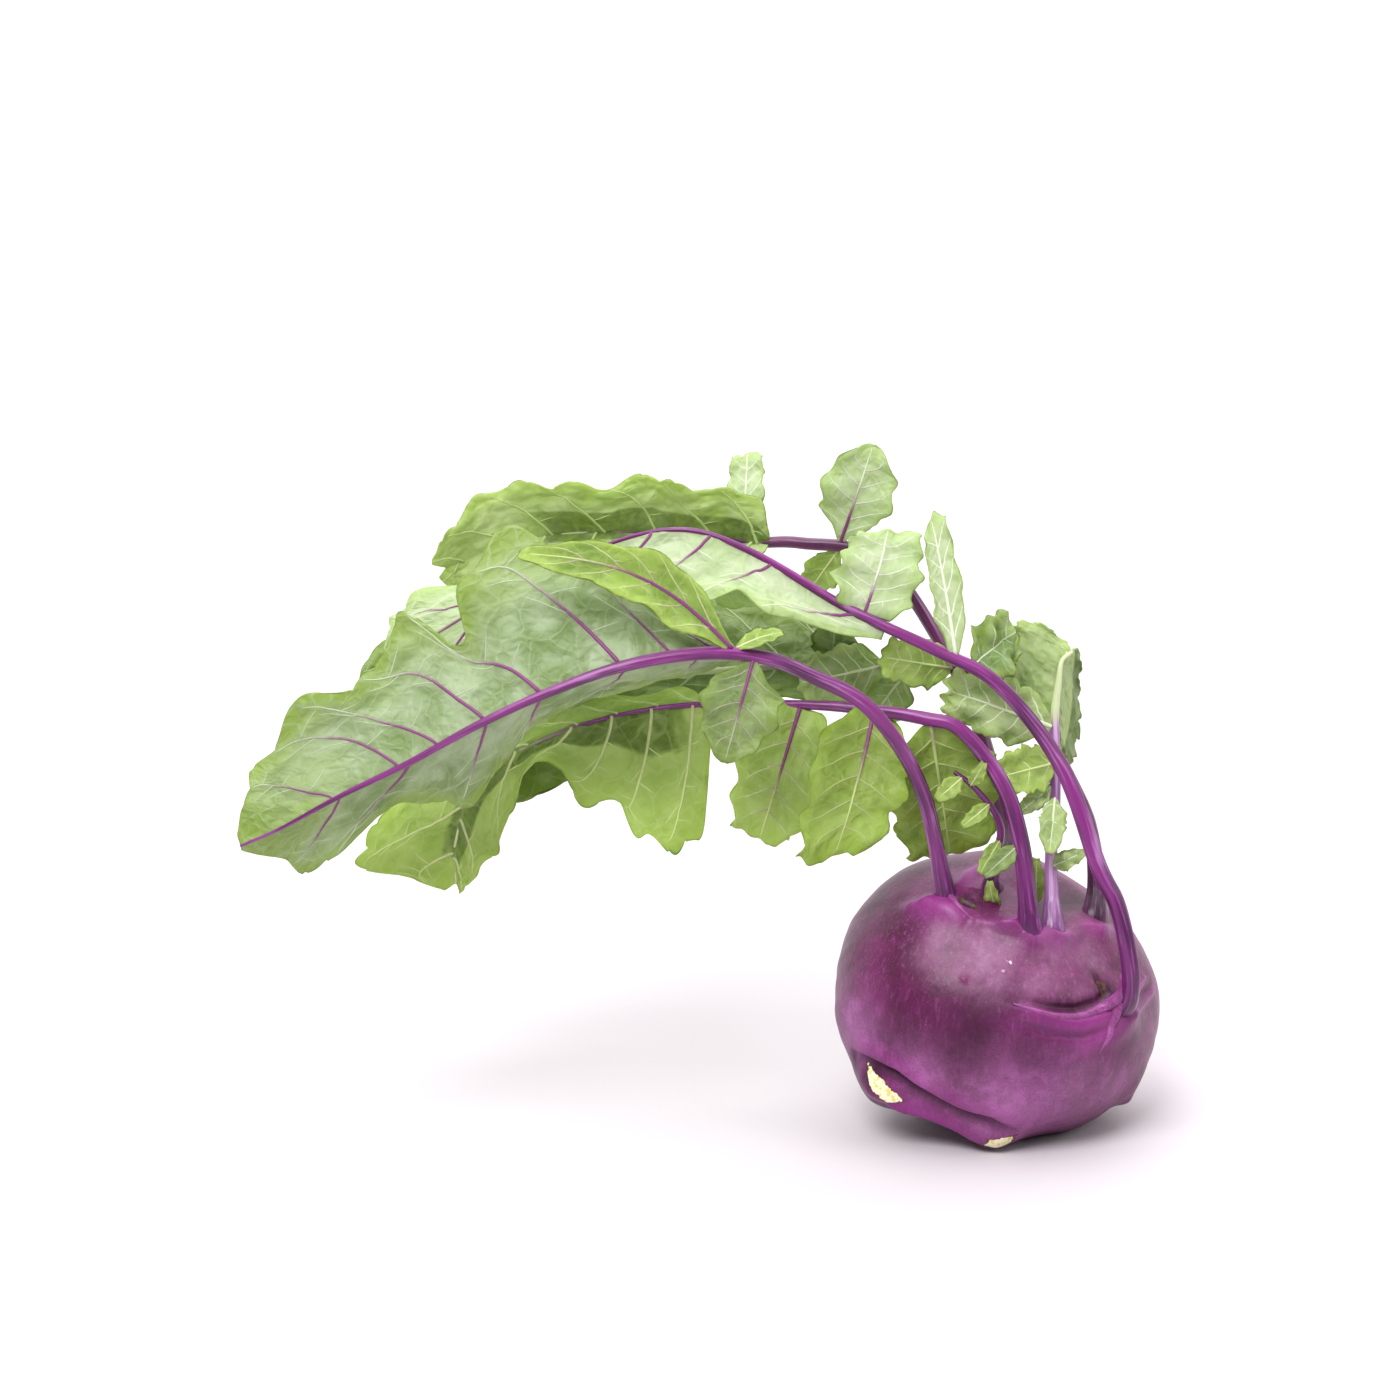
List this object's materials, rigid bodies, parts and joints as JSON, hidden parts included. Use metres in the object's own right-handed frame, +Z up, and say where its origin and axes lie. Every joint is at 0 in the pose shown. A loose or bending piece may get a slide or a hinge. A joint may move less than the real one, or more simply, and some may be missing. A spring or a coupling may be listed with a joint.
{
  "type": "kohlrabi",
  "caption": "Purple kohlrabi: a round swollen stem with arching leaf stalks, lobed blades and small leaflets, resting on a small flat spot.",
  "frame": {"origin": "on the flat spot that the bulb rests on, straight below the bulb's centre", "axes": "+Z up, +X away from the leaf tips along the part's longest extent, -Y the side where the longest leaf stalk leaves the crown"},
  "size_m": [0.2536, 0.1164, 0.1806],
  "materials": {
    "skin": "satin",
    "stalk": "satin",
    "leaf_green": "matte",
    "leaf_yellow": "matte",
    "leaf_back": "matte"
  },
  "bodies": {
    "root": {"bulb": "skin", "leaf_1_stalk": "stalk", "leaf_1_blade": "leaf_green", "leaf_1_leaflet_1": "leaf_green", "leaf_1_leaflet_2": "leaf_green", "leaf_1_leaflet_3": "leaf_green", "leaf_2_stalk": "stalk", "leaf_2_blade": "leaf_yellow", "leaf_2_leaflet_1": "leaf_yellow", "leaf_2_leaflet_2": "leaf_yellow", "leaf_2_leaflet_3": "leaf_yellow", "leaf_2_leaflet_4": "leaf_yellow", "leaf_3_stalk": "stalk", "leaf_3_blade": "leaf_green", "leaf_3_leaflet_1": "leaf_green", "leaf_3_leaflet_2": "leaf_green", "leaf_3_leaflet_3": "leaf_green", "leaf_4_stalk": "stalk", "leaf_4_blade": "leaf_green", "leaf_4_leaflet_1": "leaf_green", "leaf_4_leaflet_2": "leaf_green", "leaf_4_leaflet_3": "leaf_green", "leaf_4_leaflet_4": "leaf_green", "leaf_4_leaflet_5": "leaf_green", "leaf_5_stalk": "stalk", "leaf_5_blade": "leaf_green", "leaf_5_leaflet_1": "leaf_green", "leaf_5_leaflet_2": "leaf_green", "leaf_5_leaflet_3": "leaf_green", "leaf_5_leaflet_4": "leaf_green", "leaf_6_stalk": "stalk", "leaf_6_blade": "leaf_back", "leaf_6_leaflet_1": "leaf_back", "leaf_6_leaflet_2": "leaf_back", "leaf_6_leaflet_3": "leaf_back", "leaf_7_stalk": "stalk", "leaf_7_leaflet_1": "leaf_yellow", "leaf_7_leaflet_2": "leaf_yellow", "leaf_7_leaflet_3": "leaf_yellow", "leaf_7_leaflet_4": "leaf_yellow", "heart_leaf_1": "leaf_yellow", "heart_leaf_2": "leaf_yellow"}
  },
  "joints": []
}
